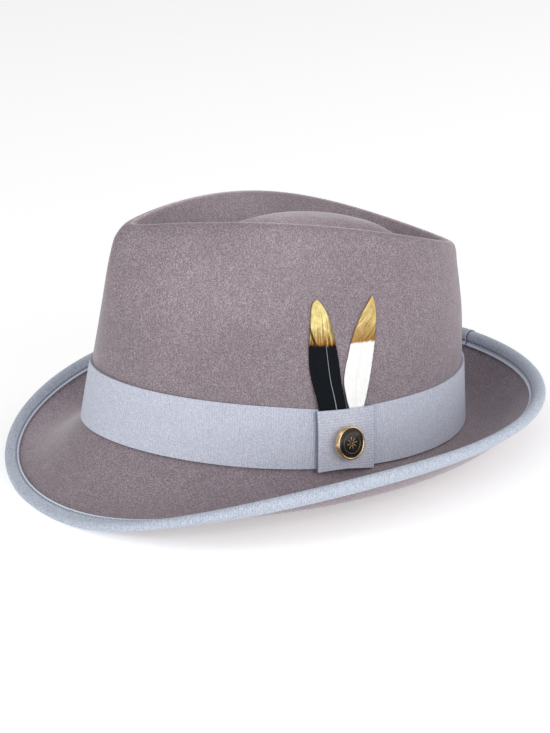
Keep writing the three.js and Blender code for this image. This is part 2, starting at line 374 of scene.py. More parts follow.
def makeFeltMaterial():
    material, tree = newMaterial("wool_felt")
    place = addNode(tree, "ShaderNodeTexCoord").outputs["Object"]
    turned = addNode(tree, "ShaderNodeMapping", {
        "Vector": place, "Rotation": (0.4, 0.7, 0.9), "Scale": (1, 1, 0.3)})
    noises = {}
    for name, noise in feltLook["noises"].items():
        drawn = addNode(tree, "ShaderNodeTexNoise", {
            "Vector": turned.outputs["Vector"] if name == "fibre" else place,
            "Scale": 1 / noise["size"], "Detail": noise["detail"], "Roughness": noise["rough"]})
        noises[name] = drawn.outputs["Fac"]
    shown = hexColour(feltLook["colour"])
    for layer in feltLook["layers"]:
        value, colour = noises[layer["noise"]], feltLook[layer["tone"]]
        shown = layOver(tree, shown, value, layer["span"], layer["shares"], colour)
    # Painted light: soft white patches dodged over the felt
    for patch in feltLook["paintedLight"]:
        away = addNode(tree, "ShaderNodeVectorMath", {0: place, 1: patch["at"]}, operation="DISTANCE")
        shown = layOver(tree, shown, away.outputs["Value"], (0, patch["reach"]), (patch["share"], 0),
                        feltLook["paintedHighlight"], "SMOOTHSTEP", "DODGE")
    # A pale line of painted highlight along the crest and the middle of the top
    raised = addNode(tree, "ShaderNodeAttribute", attribute_name="raised")
    shown = layOver(tree, shown, raised.outputs["Fac"], (0, 1), (0, feltLook["crestLightShare"]),
                    feltLook["paintedHighlight"], "LINEAR", "DODGE")
    nap = addNode(tree, "ShaderNodeMath", {
        0: noises["fibre"], 1: 0.6, 2: noises["grain"]}, operation="MULTIPLY_ADD")
    bump = addNode(tree, "ShaderNodeBump", {
        "Height": nap.outputs["Value"], "Strength": 0.6, "Distance": 0.3 * mm})
    shader = addNode(tree, "ShaderNodeBsdfPrincipled", {
        "Base Color": shown, "Normal": bump.outputs["Normal"],
        "Roughness": 0.6, "Specular IOR Level": 0.5,
        "Sheen Weight": 0.8, "Sheen Roughness": 0.3, "Sheen Tint": hexColour("#e6e2e6")})
    finishMaterial(tree, shader)
    return material


# Grosgrain ribbon: a rayon warp over thick weft ribs, so it has a low silky sheen along its ribs.
# The real ribs lie 0.6 mm apart, too fine to show in the render, so they are drawn twice as wide.
# A wave texture of scale 1 repeats after wavePeriod, and lineCore is a drawn line's solid share.
# The lines are painted light and shade: painted shade in the binding's sewn groove, a painted shadow along
# its inner edge and a painted highlight on its border, and painted shade and highlight at the folds of its
# join and of the tab.
wavePeriod = 0.314
lineCore = 0.4


def makeRibbonMaterial(name, look):
    material, tree = newMaterial(name)
    lay = addNode(tree, "ShaderNodeTexCoord").outputs["UV"]
    place = addNode(tree, "ShaderNodeTexCoord").outputs["Object"]
    ribs = addNode(tree, "ShaderNodeTexWave", {
        "Vector": lay, "Scale": wavePeriod / look["ribPitch"], "Distortion": 0.6, "Detail": 1.0,
        "Detail Scale": 0.4}, bands_direction=look["ribsAcross"]).outputs["Fac"]
    threads = addNode(tree, "ShaderNodeTexNoise", {
        "Vector": place, "Scale": 1 / look["thread"], "Detail": 2.0, "Roughness": 0.6}).outputs["Fac"]
    cloud = addNode(tree, "ShaderNodeTexNoise", {
        "Vector": place, "Scale": 1 / look["cloud"], "Detail": 2.0, "Roughness": 0.5}).outputs["Fac"]
    shown = layOver(tree, hexColour(look["colour"]), ribs, (0, 1), (look["ribTone"], 0), look["dark"])
    shown = layOver(tree, shown, cloud, look["cloudSpan"], (0, look["cloudTone"]), look["dark"])
    shown = layOver(tree, shown, threads, look["threadSpan"], (0, look["threadTone"]), look["pale"])
    reach = addNode(tree, "ShaderNodeSeparateXYZ", {"Vector": lay})
    # Lines of painted light and shade, drawn along or across the ribbon
    for line in look["lines"]:
        away = addNode(tree, "ShaderNodeMath", {
            0: reach.outputs[line["across"]], 1: line["at"]}, operation="SUBTRACT")
        apart = addNode(tree, "ShaderNodeMath", {0: away.outputs["Value"]}, operation="ABSOLUTE")
        span = (line["width"] * lineCore, line["width"])
        shown = layOver(tree, shown, apart.outputs["Value"], span, (line["share"], 0), line["colour"])
    height = addNode(tree, "ShaderNodeMath", {0: threads, 1: 0.35, 2: ribs}, operation="MULTIPLY_ADD")
    bump = addNode(tree, "ShaderNodeBump", {
        "Height": height.outputs["Value"], "Strength": 0.5, "Distance": 0.18 * mm})
    shader = addNode(tree, "ShaderNodeBsdfPrincipled", {
        "Base Color": shown, "Normal": bump.outputs["Normal"],
        "Roughness": 0.62, "Specular IOR Level": 0.3,
        "Sheen Weight": 0.2, "Sheen Roughness": 0.35, "Sheen Tint": hexColour("#e4e8f0")})
    finishMaterial(tree, shader)
    return material


bandLook = {
    "colour": "#bbbfcf", "dark": "#9aa0b6", "pale": "#dee0eb",
    "ribPitch": 1.3 * mm, "ribsAcross": "X", "ribTone": 0.5,
    "thread": 0.8 * mm, "threadSpan": (0.35, 0.7), "threadTone": 0.75,
    "cloud": 16 * mm, "cloudSpan": (0.35, 0.65), "cloudTone": 0.16,
    "lines": [],
}
bindingLook = {
    **bandLook,
    "colour": "#b0b8c6", "dark": "#8592a8", "pale": "#dbe1ec",
    "lines": [
        # Painted highlight on the border, painted shade in the sewn groove, painted shadow at the inner edge
        {"across": "Y", "at": 0.7 * mm, "width": 0.55 * mm, "share": 0.7, "colour": "#eef1f6"},
        {"across": "Y", "at": 2.1 * mm, "width": 0.6 * mm, "share": 0.75, "colour": "#465070"},
        {"across": "Y", "at": 0, "width": 0.4 * mm, "share": 0.8, "colour": "#4c546c"},
    ],
}
joinLook = {
    **bindingLook,
    "lines": bindingLook["lines"] + [
        # Painted shadow at the join's folded end, and a painted highlight on the fold's edge
        {"across": "X", "at": 0.1 * mm, "width": 0.7 * mm, "share": 0.85, "colour": "#465070"},
        {"across": "X", "at": 1.2 * mm, "width": 0.6 * mm, "share": 0.6, "colour": "#e3e7ee"},
    ],
}
tabLook = {
    **bandLook,
    "ribsAcross": "Y", "ribTone": 0.4,
    # Painted shade along the tab's folded front edge
    "lines": [{"across": "X", "at": 0.2 * mm, "width": 0.75 * mm, "share": 0.9, "colour": "#555d76"}],
}

feltMaterial = makeFeltMaterial()
bandMaterial = makeRibbonMaterial("band_grosgrain", bandLook)
tabMaterial = makeRibbonMaterial("tab_grosgrain", tabLook)
bindingMaterial = makeRibbonMaterial("binding_grosgrain", bindingLook)
joinMaterial = makeRibbonMaterial("join_grosgrain", joinLook)
print("cloth materials made")


# The felt: crown and brim in one piece, smoothed through the frame's points. The swell rounds the crown's
# left side near its front, and a painted highlight lies on the crest and on the middle of the top.
felt = {
    "columns": 60,
    "perColumn": 4,
    "perRow": 3,
    "start": (0, -0.11, 0.02),
    "swells": [
        {"at": (0.0306, -0.054, 0.088), "wide": 26 * mm, "tall": 12 * mm, "height": 1.5 * mm},
    ],
    # Rows that carry the painted highlight: the crest, and the middle of the top
    "raised": [
        {"row": 9.8, "wide": 0.6, "share": 1.0},
        {"row": 1.1, "wide": 0.7, "share": 0.34},
    ],
}


def makeFelt():
    low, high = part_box("felt_body")
    rings = gridOf("felt_body", felt["columns"], felt["start"])
    columns = felt["columns"] * felt["perColumn"]
    rows = (rings.shape[1] - 1) * felt["perRow"] + 1
    skin = smoothRows(rings, np.arange(columns) / felt["perColumn"], closed=True)
    skin = smoothRows(skin.swapaxes(0, 1), np.arange(rows) / felt["perRow"])
    skin[..., 2] = np.clip(skin[..., 2], low.z, high.z)
    for swell in felt["swells"]:
        middle = np.array(swell["at"])
        outwards = middle * (1, 1, 0) / math.hypot(middle[0], middle[1])
        sideways = np.array((-outwards[1], outwards[0], 0))
        away = skin - middle
        push = ((away @ sideways) / swell["wide"]) ** 2 + ((away @ outwards) / swell["wide"]) ** 2
        push = swell["height"] * np.exp(-push - (away[..., 2] / swell["tall"]) ** 2)
        skin = skin + push[..., None] * outwards
    points = np.concatenate([skin.reshape(-1, 3), skin[:1].mean(axis=1), skin[-1:].mean(axis=1)])
    faces = gridFaces(rows, columns, closedColumns=True)
    for pole, row in ((rows * columns, 0), (rows * columns + 1, rows - 1)):
        for column in range(columns):
            faces.append((pole, row * columns + column, row * columns + (column + 1) % columns))
    piece = meshFrom("felt", points, faces)

    # How strong the painted highlight is, by rows of the frame's skin from the middle of the crown's top
    row = np.arange(rows) / felt["perRow"]
    if skin[0, :, 2].mean() < skin[-1, :, 2].mean():
        row = row[::-1]
    raised = np.zeros(rows)
    for line in felt["raised"]:
        raised += line["share"] * np.exp(-(((row - line["row"]) / line["wide"]) ** 2))
    values = np.concatenate([np.repeat(raised, columns), raised[:1], raised[-1:]])
    piece.data.attributes.new("raised", "FLOAT", "POINT").data.foreach_set("value", values)
    return finishPiece(piece, feltMaterial, ["felt_body"], 80)


feltPiece = makeFelt()


# The ribbon bound over the brim's edge: a smooth roll, a sewn groove and a narrow ribbed border.
# Its length is taken on the line of points that measured gives.
binding = {
    "columns": 60, "perColumn": 6, "steps": 64, "innerStep": 4, "start": (-0.0275, 0.137, 0.022),
    "measured": 20, "halfBrim": 130 * mm,
    "groove": 2.1 * mm, "grooveWander": 0.7 * mm, "grooveWidth": 0.45 * mm, "grooveDepth": 0.4 * mm,
    "roll": (0.4 * mm, 1.5 * mm), "rollFrom": (0.2, 0.8), "rollAt": 0.5, "rollWidth": 0.26,
}


def makeBinding():
    outer, inner = sidesOf(gridOf("brim_binding", binding["columns"], binding["start"]))
    count = binding["columns"] * binding["perColumn"]
    around = np.arange(count) / binding["perColumn"]
    outer = smoothRows(outer, around, closed=True)
    inner = smoothRows(inner, around, closed=True)
    if outer[0, 0, 2] < outer[0, -1, 2]:
        outer, inner = outer[:, ::-1], inner[:, ::-1]
    places = np.linspace(0, outer.shape[1] - 1, binding["steps"])
    skin = smoothAcross(outer, places)
    inside = smoothAcross(inner, places[::binding["innerStep"]])
    normals = normalsOf(skin)
    middle = skin.mean(axis=1, keepdims=True)
    if ((skin - middle) * normals).sum() < 0:
        normals = -normals
    across = np.stack([travelled(line) for line in skin])
    measured = skin[:, binding["measured"]]
    along = travelled(np.concatenate([measured, measured[:1]]))[:count]
    backwards = np.clip(skin[:, :1, 1] / binding["halfBrim"], -1, 1)
    sewn = binding["groove"] + binding["grooveWander"] * backwards
    groove = np.exp(-(((across - sewn) / binding["grooveWidth"]) ** 2))
    fold = np.exp(-(((across / across[:, -1:] - binding["rollAt"]) / binding["rollWidth"]) ** 2))
    roll = fold * np.interp(backwards, binding["rollFrom"], binding["roll"])
    skin = skin + normals * (roll - groove * binding["grooveDepth"])[..., None]
    across = np.where(across < sewn, across / sewn * binding["groove"], across - sewn + binding["groove"])
    skin[..., 2] = np.maximum(skin[..., 2], 0)
    innerAcross = across[:, binding["innerStep"] - 1::binding["innerStep"]]
    lays = [layOf(along, across), layOf(along, innerAcross)]
    piece = meshFrom("binding", *closedSheet([skin, inside], lays, loop=True))
    finishPiece(piece, bindingMaterial, ["brim_binding"])
    return piece, skin, across, normals


bindingPiece, bindingSkin, bindingAcross, bindingNormals = makeBinding()


# The binding's end, folded under and laid over its start: a short sleeve just proud of the ribbon
join = {"from": 5.1, "to": -1.2, "rows": 26, "proud": 0.4 * mm, "thinned": 0.3, "sunk": 0.15 * mm}


def makeJoin():
    leftwards = 1 if bindingSkin[1, 0, 0] > bindingSkin[0, 0, 0] else -1
    places = leftwards * np.linspace(join["from"], join["to"], join["rows"])
    skin = smoothRows(bindingSkin, places, closed=True)
    normals = smoothRows(bindingNormals, places, closed=True)
    across = smoothRows(bindingAcross, places, closed=True)
    slope = np.linspace(1, join["thinned"], join["rows"])
    sides = [skin + normals * (slope * join["proud"])[:, None, None], skin - normals * join["sunk"]]
    for side in sides:
        side[..., 2] = np.maximum(side[..., 2], 0)
    lay = layOf(travelled(skin[:, binding["measured"]]), across)
    piece = meshFrom("binding_join", *closedSheet(sides, [lay, lay]))
    finishPiece(piece, joinMaterial, (), 30)


makeJoin()


# The ribbon round the crown
band = {
    "columns": 60, "perColumn": 6, "perRow": 5, "start": (0.08, -0.005, 0.025),
    "dipAt": (0.082, -0.006), "dip": 1.7 * mm, "dipReach": 24 * mm,
}


def makeBand():
    outer, inner = sidesOf(gridOf("hat_band", band["columns"], band["start"]))
    if outer[0, 0, 2] > outer[0, -1, 2]:
        outer, inner = outer[:, ::-1], inner[:, ::-1]
    count = band["columns"] * band["perColumn"]
    around = np.arange(count) / band["perColumn"]
    rows = (outer.shape[1] - 1) * band["perRow"] + 1
    upwards = np.arange(rows) / band["perRow"]
    sides = [smoothAcross(smoothRows(side, around, closed=True), upwards) for side in (outer, inner)]
    away = np.linalg.norm(sides[0][:, -1, :2] - np.array(band["dipAt"]), axis=1)
    dip = band["dip"] * np.exp(-((away / band["dipReach"]) ** 2))
    for side in sides:
        side[..., 2] -= dip[:, None] * np.linspace(0, 1, rows) ** 2
    across = np.stack([travelled(line) for line in sides[0]])
    along = travelled(np.concatenate([sides[0][:, 0], sides[0][:1, 0]]))[:count]
    lay = layOf(along, across)
    piece = meshFrom("band", *closedSheet(sides, [lay, lay], loop=True))
    return finishPiece(piece, bandMaterial, ["hat_band"])


bandPiece = makeBand()


# The outer and inner sides of a small sheet, along it and across it. The frame has ten points round it.
smallRing = 10


def smallSheet(nodeName, along, across):
    low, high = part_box(nodeName)
    sides = sidesOf(gridOf(nodeName, smallRing, (low + high) / 2).swapaxes(0, 1))
    distance = travelled(sides[0].mean(axis=1))
    rows = np.interp(np.linspace(0, distance[-1], along), distance, np.arange(len(distance)))
    places = np.linspace(0, sides[0].shape[1] - 1, across)
    return [smoothAcross(smoothRows(side, rows), places) for side in sides]


# The short ribbon over the band's join: its front edge is folded, and its foot bulges a little
tab = {
    "along": 49, "across": 41, "measured": 20, "spread": 1.3 * mm,
    "fold": 0.5 * mm, "foldWidth": 0.9 * mm, "puff": 0.35 * mm, "puffWaves": 2.5,
    "foot": (-0.5 * mm, 0.4 * mm, 0.9 * mm, 0.4 * mm, -0.4 * mm), "footPower": 6,
    "rise": (0.7 * mm, 1.7 * mm), "risePower": 3,
}


def makeTab():
    outer, inner = smallSheet("band_tab", tab["along"], tab["across"])
    if outer[0, 0, 1] > outer[-1, 0, 1]:
        outer, inner = outer[::-1], inner[::-1]
    if outer[0, 0, 2] > outer[0, -1, 2]:
        outer, inner = outer[:, ::-1], inner[:, ::-1]
    normals = unitOf(outer - inner)
    along = travelled(outer[:, tab["measured"]])
    across = travelled(outer[tab["measured"]])
    share = along / along[-1]
    height = across / across[-1]
    fold = -tab["fold"] * np.exp(-((along / tab["foldWidth"]) ** 2))
    wave = np.cos(np.pi * tab["puffWaves"] * height) * (1 - height)
    puff = tab["puff"] * np.outer(np.sin(np.pi * share) ** 2, wave)
    outer = outer + normals * (fold[:, None] + puff)[..., None]
    sag = smoothRows(np.array(tab["foot"]), share * (len(tab["foot"]) - 1))
    sink = np.outer(sag, (1 - height) ** tab["footPower"])[..., None] * np.array((0, 0, 1))
    rise = np.outer(np.interp(share, (0, 1), tab["rise"]), height ** tab["risePower"])
    stretch = rise[..., None] * unitOf(outer[:, -1] - outer[:, -2])[:, None]
    spread = tab["spread"] * np.outer(1 - share, height)[..., None] * unitOf(outer[0] - outer[1])
    moved = sink + stretch + spread
    lay = layOf(along, across)
    piece = meshFrom("tab", *closedSheet([outer + moved, inner + moved], [lay, lay]))
    return finishPiece(piece, tabMaterial, ["band_tab"], 40)


tabPiece = makeTab()


# The stitches that hold the binding, one by one in its groove
stitches = {
    "pitch": 2.4 * mm, "length": 1.2 * mm, "radius": 0.26 * mm, "sink": 0.28 * mm, "proud": 0.4,
    "sides": 5, "steps": 5, "arch": (0.12, 0.88), "slimmest": 0.6,
}


def tubePoints(line, radii, upwards, sides):
    along = unitOf(np.gradient(line, axis=0))
    beside = unitOf(np.cross(along, upwards))
    above = np.cross(beside, along)
    turns = np.arange(sides)[:, None] / sides * 2 * np.pi
    circle = beside[:, None] * np.cos(turns) + above[:, None] * np.sin(turns)
    return line[:, None] + circle * np.reshape(radii, (-1, 1, 1))


def makeStitches():
    nearest = np.argmin(np.abs(bindingAcross - binding["groove"]), axis=1)
    rows = np.arange(len(nearest))
    line = bindingSkin[rows, nearest]
    upwards = bindingNormals[rows, nearest]
    line = np.concatenate([line, line[:1]])
    upwards = np.concatenate([upwards, upwards[:1]])
    distance = travelled(line)
    count = int(distance[-1] / stitches["pitch"])
    steps, radius = stitches["steps"], stitches["radius"]
    swell = np.sin(np.linspace(*stitches["arch"], steps) * np.pi)
    radii = radius * np.interp(swell, (0, 1), (stitches["slimmest"], 1))
    points, faces = [], []
    for index in range(count):
        middle = (index + 0.5) * distance[-1] / count
        places = (middle + np.linspace(-0.5, 0.5, steps) * stitches["length"]) % distance[-1]
        here = np.stack([np.interp(places, distance, line[:, axis]) for axis in range(3)], axis=1)
        up = np.stack([np.interp(places, distance, upwards[:, axis]) for axis in range(3)], axis=1)
        here = here + up * ((swell - 1) * stitches["sink"] + radius * stitches["proud"])[:, None]
        faces.extend(tubeFaces(steps, stitches["sides"], first=len(points)))
        points.extend(tubePoints(here, radii, up, stitches["sides"]).reshape(-1, 3))
    piece = meshFrom("binding_stitches", points, faces)
    finishPiece(piece, threadMaterial, (), 80)


# Polyester sewing thread: two plies twisted, with a little shine
threadLook = {"colour": "#cfd6e0", "dark": "#9aa5b6", "ply": 0.4 * mm}


def makeThreadMaterial():
    material, tree = newMaterial("sewing_thread")
    place = addNode(tree, "ShaderNodeTexCoord").outputs["Object"]
    ply = addNode(tree, "ShaderNodeTexNoise", {
        "Vector": place, "Scale": 1 / threadLook["ply"], "Detail": 2.0})
    tinted = addNode(tree, "ShaderNodeMixRGB", {
        "Fac": ply.outputs["Fac"],
        "Color1": hexColour(threadLook["colour"]), "Color2": hexColour(threadLook["dark"])})
    bump = addNode(tree, "ShaderNodeBump", {
        "Height": ply.outputs["Fac"], "Strength": 0.4, "Distance": 0.1 * mm})
    shader = addNode(tree, "ShaderNodeBsdfPrincipled", {
        "Base Color": tinted.outputs["Color"], "Normal": bump.outputs["Normal"], "Roughness": 0.5})
    finishMaterial(tree, shader)
    return material


threadMaterial = makeThreadMaterial()
makeStitches()


# Dyed goose feathers with their tips dipped in gold paint. The barbs are soft and matt, the paint is a
# brassy metallic with streaks along the barbs, darker where it thins out at its lower edge.
giltLook = {
    "streaks": (14, 4, 1), "brush": 4 * mm, "brushSpan": (0.4, 0.7), "brushTone": 0.45,
    "clump": 1.2 * mm, "waterline": 0.012, "thinnest": 0.4, "edgeSpan": (0.43, 0.5),
    # The parting colour is painted shade for a gap between the barbs
    "partingShade": "#2a2018", "partingShadeTone": 0.9, "roughness": 0.42,
}


def makeFeatherMaterial(name, look):
    material, tree = newMaterial(name)
    lay = addNode(tree, "ShaderNodeTexCoord").outputs["UV"]
    place = addNode(tree, "ShaderNodeTexCoord").outputs["Object"]
    share = addNode(tree, "ShaderNodeSeparateXYZ", {"Vector": lay}).outputs
    leaning = addNode(tree, "ShaderNodeMath", {
        0: share["Y"], 1: -look["streakLean"], 2: share["X"]}, operation="MULTIPLY_ADD")
    drawn = addNode(tree, "ShaderNodeCombineXYZ", {"X": leaning.outputs["Value"], "Y": share["Y"]})
    fine = addNode(tree, "ShaderNodeMapping", {
        "Vector": drawn.outputs["Vector"], "Scale": giltLook["streaks"]})
    streak = addNode(tree, "ShaderNodeTexNoise", {
        "Vector": fine.outputs["Vector"], "Scale": 1.0, "Detail": 3.0, "Roughness": 0.7}).outputs["Fac"]
    brush = addNode(tree, "ShaderNodeTexNoise", {
        "Vector": place, "Scale": 1 / giltLook["brush"], "Detail": 3.0, "Roughness": 0.6}).outputs["Fac"]
    down = addNode(tree, "ShaderNodeTexNoise", {
        "Vector": place, "Scale": 1 / giltLook["clump"], "Detail": 2.0, "Roughness": 0.6}).outputs["Fac"]
    ragged = addNode(tree, "ShaderNodeMath", {
        0: streak, 1: look["ragged"], 2: share["Y"]}, operation="MULTIPLY_ADD").outputs["Value"]
    dip = look["dip"]
    dipped = addNode(tree, "ShaderNodeMapRange", {
        "Value": ragged, "From Min": dip, "From Max": dip + giltLook["waterline"]}).outputs["Result"]
    height = addNode(tree, "ShaderNodeMapRange", {
        "Value": ragged, "From Min": dip, "From Max": dip + look["thin"], "To Min": giltLook["thinnest"]})
    lit = addNode(tree, "ShaderNodeMath", {0: height.outputs["Result"], 1: streak}, operation="MULTIPLY")
    gilt = layOver(
        tree, hexColour(look["goldDark"]), lit.outputs["Value"], look["lit"], (0, 1), look["goldPale"])
    brushShares = (0, giltLook["brushTone"])
    gilt = layOver(tree, gilt, brush, giltLook["brushSpan"], brushShares, look["goldDark"])
    away = addNode(tree, "ShaderNodeMath", {0: share["X"], 1: 0.5}, operation="SUBTRACT")
    apart = addNode(tree, "ShaderNodeMath", {0: away.outputs["Value"]}, operation="ABSOLUTE")
    edgeShares = (0, look["edge"])
    gilt = layOver(tree, gilt, apart.outputs["Value"], giltLook["edgeSpan"], edgeShares, look["goldEdge"])
    # A dark line of painted shade where the gilt barbs part
    if look["split"]:
        slant, middle, reach = look["split"]
        crossing = addNode(tree, "ShaderNodeMath", {
            0: share["Y"], 1: slant, 2: share["X"]}, operation="MULTIPLY_ADD")
        beside = addNode(tree, "ShaderNodeMath", {
            0: crossing.outputs["Value"], 1: middle}, operation="SUBTRACT")
        near = addNode(tree, "ShaderNodeMath", {0: beside.outputs["Value"]}, operation="ABSOLUTE")
        gilt = layOver(tree, gilt, near.outputs["Value"], (reach, reach * 2),
                       (giltLook["partingShadeTone"], 0), giltLook["partingShade"])
    dyed = addNode(tree, "ShaderNodeMixRGB", {
        "Fac": down, "Color1": hexColour(look["colour"]), "Color2": hexColour(look["shade"])})
    coloured = addNode(tree, "ShaderNodeMixRGB", {
        "Fac": dipped, "Color1": dyed.outputs["Color"], "Color2": gilt})
    metal = addNode(tree, "ShaderNodeMath", {0: dipped, 1: look["metal"]}, operation="MULTIPLY")
    rough = addNode(tree, "ShaderNodeMapRange", {
        "Value": dipped, "To Min": look["roughness"], "To Max": giltLook["roughness"]})
    bump = addNode(tree, "ShaderNodeBump", {"Height": streak, "Strength": 0.3, "Distance": 0.15 * mm})
    shader = addNode(tree, "ShaderNodeBsdfPrincipled", {
        "Base Color": coloured.outputs["Color"], "Metallic": metal.outputs["Value"],
        "Roughness": rough.outputs["Result"], "Normal": bump.outputs["Normal"],
        "Specular IOR Level": look["gloss"]})
    finishMaterial(tree, shader)
    return material


# Both blades: their fine grid, the sheet under the barbs, the barbs by shares of the blade, and the shaft
blade = {
    "along": 121, "across": 33, "thinnest": 0.001 * mm,
    "sheetAlong": 91, "sheetAcross": 25, "sheetTop": 0.997, "sheetSides": (0.01, 0.99), "sheetHalf": 0.1 * mm,
    "barbs": 84, "barbSteps": 8, "barbRun": 0.98, "barbTop": 0.999, "bow": 1.25, "width": 1.3, "taper": 0.35,
    "leastLean": 0.9, "moreLean": 0.2, "rough": 0.012, "cut": 0.6,
    "ridge": 0.12 * mm, "moreRidge": 0.05 * mm, "seat": 0.05 * mm,
    "shaftSteps": 60, "shaftSides": 8, "shaftLift": 0.4 * mm, "shaftTip": 0.3,
}
blackFeather = {
    "node": "black_feather", "shaftAt": 0.62, "shaftTop": 0.8, "lean": 0.2,
    "streakLean": 0.5, "split": (1.97, 1.61, 0.03),
    "colour": "#0e1116", "shade": "#14181e", "roughness": 0.7, "gloss": 0.1,
    "dip": 0.72, "ragged": 0.08, "thin": 0.2, "metal": 0.2, "lit": (0.22, 0.42),
    "goldDark": "#8a560c", "goldPale": "#fff0a8", "goldEdge": "#4a3014", "edge": 0.9,
}
whiteFeather = {
    "node": "white_feather", "shaftAt": 0.45, "shaftTop": 0.9, "lean": 0.24,
    "streakLean": 4.0, "split": None,
    "colour": "#ffffff", "shade": "#f4f4f2", "roughness": 0.8, "gloss": 0.2,
    "dip": 0.7, "ragged": 0.06, "thin": 0.24, "metal": 0.12, "lit": (0.2, 0.56),
    "goldDark": "#9c7030", "goldPale": "#ffeaa4", "goldEdge": "#6c4c20", "edge": 0.8,
}
blackShaft = {"radius": 0.32 * mm, "colour": "#a7adb2", "shade": "#7d8489"}
whiteShaft = {"radius": 0.18 * mm, "colour": "#ffffff", "shade": "#f6f5f2"}


# A value of a fine grid at a share along it and a share across it, kept inside the grid's last cell
insideLast = 1.001


def gridAt(grid, along, across):
    row = np.clip(np.asarray(along) * (len(grid) - 1), 0, len(grid) - insideLast)
    column = np.clip(np.asarray(across) * (grid.shape[1] - 1), 0, grid.shape[1] - insideLast)
    i, j = row.astype(int), column.astype(int)
    u, v = (row - i)[..., None], (column - j)[..., None]
    near = grid[i, j] * (1 - v) + grid[i, j + 1] * v
    far = grid[i + 1, j] * (1 - v) + grid[i + 1, j + 1] * v
    return near * (1 - u) + far * u


def makeFeather(feather, shaft):
    outer, inner = smallSheet(feather["node"], blade["along"], blade["across"])
    if outer[0, 0, 2] > outer[-1, 0, 2]:
        outer, inner = outer[::-1], inner[::-1]
    halfway = blade["along"] // 2
    if outer[halfway, 0, 1] > outer[halfway, -1, 1]:
        outer, inner = outer[:, ::-1], inner[:, ::-1]
    middle = (outer + inner) / 2
    thickness = np.linalg.norm(outer - inner, axis=2, keepdims=True)
    normals = (outer - inner) / np.maximum(thickness, blade["thinnest"])

    # The vane is a thin closed sheet under the barbs
    along = np.linspace(0, blade["sheetTop"], blade["sheetAlong"])
    across = np.linspace(*blade["sheetSides"], blade["sheetAcross"])
    s, c = np.meshgrid(along, across, indexing="ij")
    core = gridAt(middle, s, c)
    lift = gridAt(normals, s, c) * blade["sheetHalf"]
    lay = np.stack([c, s], axis=2)
    points, faces, places = (list(part) for part in closedSheet([core + lift, core - lift], [lay, lay]))

    # Each barb is a slim ridge from the shaft out and up to the feather's edge
    run = np.linspace(0, 1, blade["barbSteps"])
    pitch = blade["barbRun"] / blade["barbs"]
    half = 0.5 * blade["width"] * pitch * (1 - blade["taper"] * run)
    for side, reach in ((-1, feather["shaftAt"]), (1, 1 - feather["shaftAt"])):
        for index in range(blade["barbs"]):
            tipLean = feather["lean"] * reach * (blade["leastLean"] + blade["moreLean"] * chance.random())
            trim = 1 + blade["rough"] * (chance.random() - blade["cut"])
            s = np.minimum(index * pitch + tipLean * run ** blade["bow"], blade["barbTop"])
            c = feather["shaftAt"] + side * reach * trim * run
            low = gridAt(middle, np.maximum(s - half, 0), c)
            high = gridAt(middle, np.minimum(s + half, 1), c)
            up = gridAt(normals, s, c)
            ridge = gridAt(middle, s, c) + up * (blade["ridge"] + blade["moreRidge"] * chance.random())
            seat = up * blade["seat"]
            strip = np.stack([low + seat, ridge + seat, high + seat, (low + high) / 2 - seat], axis=1)
            sides = strip.shape[1]
            faces.extend(tubeFaces(len(run), sides, first=len(points)))
            points.extend(strip.reshape(-1, 3))
            places.extend(np.repeat(np.stack([c, s], axis=1), sides, axis=0))
    vane = meshFrom(feather["node"] + "_vane", points, faces, np.array(places))
    vaneMaterial = makeFeatherMaterial(feather["node"], feather)
    finishPiece(vane, vaneMaterial, [feather["node"]], 35)

    # The shaft lies along the barbs' roots and runs out before the tip
    sides = blade["shaftSides"]
    s = np.linspace(0, feather["shaftTop"], blade["shaftSteps"])
    c = np.full_like(s, feather["shaftAt"])
    up = gridAt(normals, s, c)
    line = gridAt(middle, s, c) + up * blade["shaftLift"]
    radii = shaft["radius"] * np.linspace(1, blade["shaftTip"], len(s))
    tube = tubePoints(line, radii, up, sides).reshape(-1, 3)
    places = np.repeat(np.stack([c, s], axis=1), sides, axis=0)
    stem = meshFrom(feather["node"] + "_shaft", tube, tubeFaces(len(s), sides), places)
    stemLook = {**feather, "colour": shaft["colour"], "shade": shaft["shade"]}
    finishPiece(stem, makeFeatherMaterial(feather["node"] + "_quill", stemLook), (), 80)


makeFeather(blackFeather, blackShaft)
makeFeather(whiteFeather, whiteShaft)


# The button: a turned brass rim, an enamel face and a raised rosette of brass
button = {
    "radius": 8.4 * mm, "height": 2.95 * mm, "recess": 7.15 * mm, "floor": 1.5 * mm, "sides": 72,
    "foot": 0.05 * mm, "edge": 0.6 * mm, "lip": 0.55 * mm,
    "faceRadius": 7.05 * mm, "faceTop": 3.05 * mm, "gap": 0.1 * mm, "bevel": 0.3 * mm,
    "domeAt": 0.6, "dome": 0.08 * mm, "ring": 5.0 * mm, "wire": 0.13 * mm, "ringSink": 0.02 * mm,
    "aside": 0.9 * mm, "turn": 4, "sink": 0.4 * mm,
    "petals": 8, "petalAt": 2.0 * mm, "petal": (1.3 * mm, 0.36 * mm, 0.2 * mm), "bead": 0.5 * mm,
}


# The button's own axes, from its rim in the frame: the middle of its foot, and its axis outwards
def buttonPlace():
    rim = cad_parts["button_rim"]
    points = np.array([vertex.co for vertex in rim.data.vertices], float)
    points = np.unique(points.round(7), axis=0)
    middle = points.mean(axis=0)
    _, _, axes = np.linalg.svd(points - middle)
    axis = axes[2] if axes[2][0] > 0 else -axes[2]
    foot = middle + axis * ((points - middle) @ axis).min()
    turned = Vector(axis).to_track_quat("Z", "Y").to_matrix().to_4x4()
    aside = Vector((axis[1], -axis[0], 0)).normalized() * button["aside"]
    leant = Matrix.Rotation(math.radians(button["turn"]), 4, "Z")
    return Matrix.Translation(Vector(foot - axis * button["sink"]) + aside) @ leant @ turned


